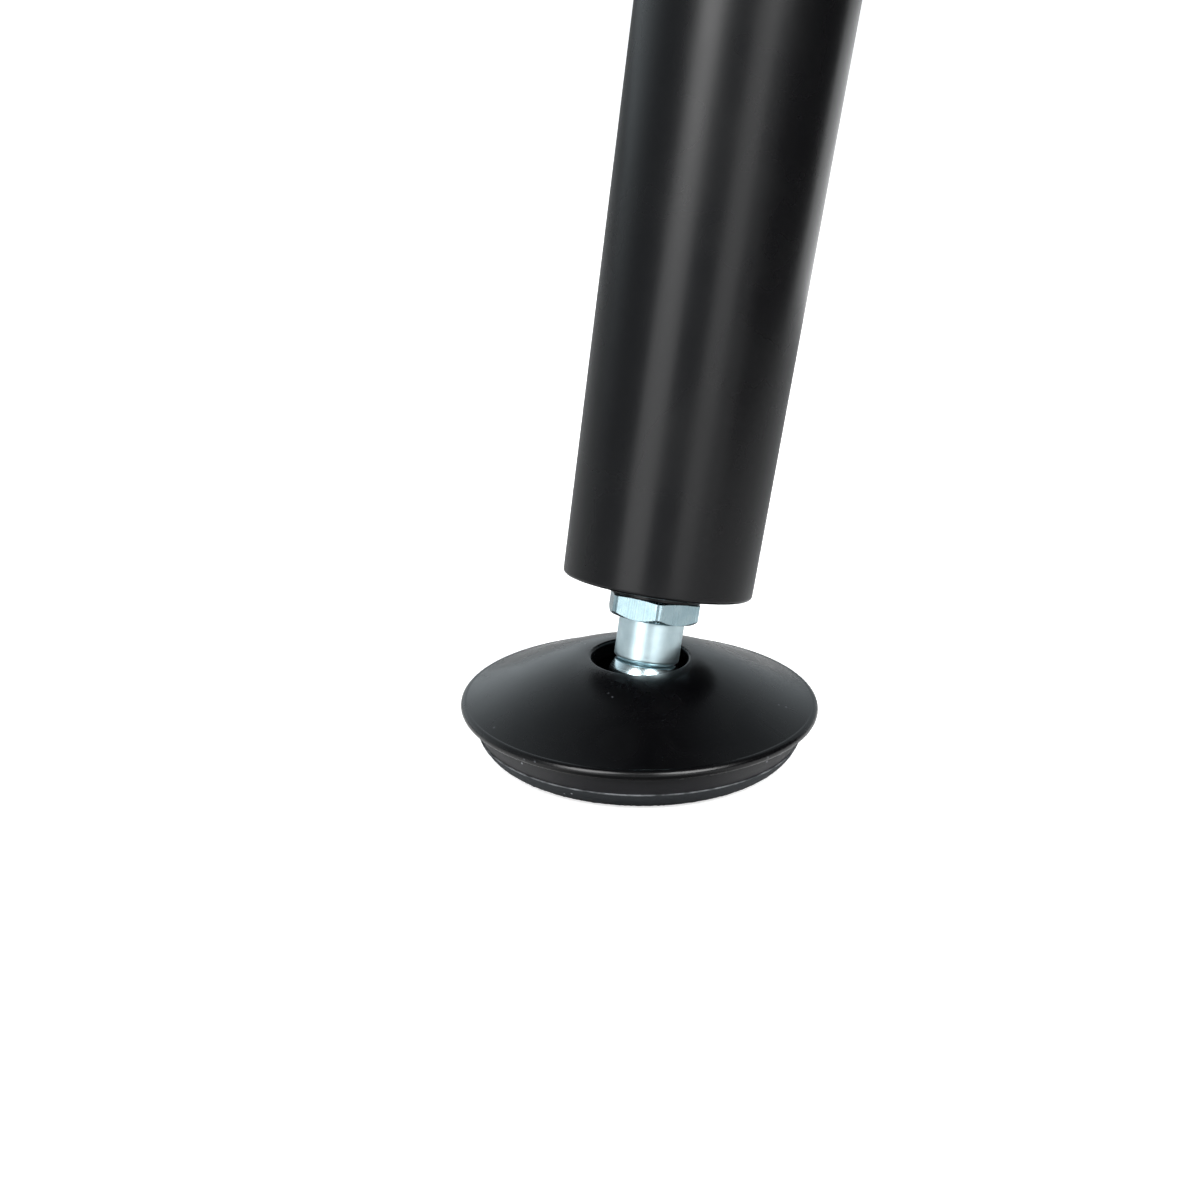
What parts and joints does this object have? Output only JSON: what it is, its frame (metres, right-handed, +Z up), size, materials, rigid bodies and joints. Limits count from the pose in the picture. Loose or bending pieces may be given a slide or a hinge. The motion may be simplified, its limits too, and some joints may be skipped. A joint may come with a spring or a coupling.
{
  "type": "folding table leg",
  "caption": "Splayed conical steel table leg on a folding bracket, standing on a swivelling dome-shaped levelling foot with a hexagon spindle.",
  "frame": {"origin": "middle of the hinge on the bracket's top face, which lies on the underside of the table", "axes": "+Z up, X along the hinge pin, the foot splays towards -Y and folds towards +Y"},
  "size_m": [0.09, 0.2458, 0.71],
  "materials": {
    "leg_coat": "black powder coat, satin",
    "bracket_coat": "black powder coat, satin",
    "head_coat": "black coated casting, satin",
    "rivet_coat": "black coated rivet",
    "zinc_hardware": "zinc plated",
    "spindle_zinc": "bright zinc plated, turned",
    "spring_steel": "oiled spring steel",
    "nylon": "natural nylon",
    "cap_plastic": "moulded black, half gloss",
    "base_plastic": "moulded black, matt",
    "sole_rubber": "dark rubber"
  },
  "bodies": {
    "bracket": {"mounting_bracket": "bracket_coat", "pivot_bolt": "zinc_hardware", "pivot_nut": "zinc_hardware", "pivot_washers": "nylon", "stop_pin": "zinc_hardware", "latch_spring": "spring_steel", "latch_rivets": "zinc_hardware"},
    "leg": {"hinge_head": "head_coat", "head_rivets": "rivet_coat", "leg_tube": "leg_coat", "end_disc": "leg_coat", "spindle_nut": "zinc_hardware"},
    "neck": {"neck_ring": "spindle_zinc"},
    "spindle": {"levelling_spindle": "spindle_zinc"},
    "socket": {"socket_ring": "nylon"},
    "foot": {"foot_cap": "cap_plastic", "foot_base": "base_plastic", "ball_seat": "nylon", "foot_screws": "zinc_hardware", "foot_sole": "sole_rubber"}
  },
  "joints": [
    {"name": "fold", "type": "hinge", "parent": "bracket", "child": "leg", "pos_m": [0, 0, -0.035], "axis": [1, 0, 0], "range_deg": [0, 104.2], "deforming": ["latch_spring"]},
    {"name": "height_adjust", "type": "slide", "parent": "leg", "child": "neck", "axis": [0, -0.2453, -0.9694], "range_m": [0, 0.02]},
    {"name": "spindle_turn", "type": "hinge", "parent": "neck", "child": "spindle", "pos_m": [0, -0.1688, -0.7021], "axis": [0, -0.2453, -0.9694], "range_deg": [0, 4801]},
    {"name": "foot_spin", "type": "hinge", "parent": "neck", "child": "socket", "pos_m": [0, -0.1688, -0.7021], "axis": [0, 0.2453, 0.9694], "continuous": true},
    {"name": "foot_tilt", "type": "hinge", "parent": "socket", "child": "foot", "pos_m": [0, -0.1688, -0.7021], "axis": [1, 0, 0], "range_deg": [-30, 1.6]}
  ],
  "couplings": [
    {"joint": "spindle_turn", "follows": "height_adjust", "rad_per_m": 4188.8}
  ]
}
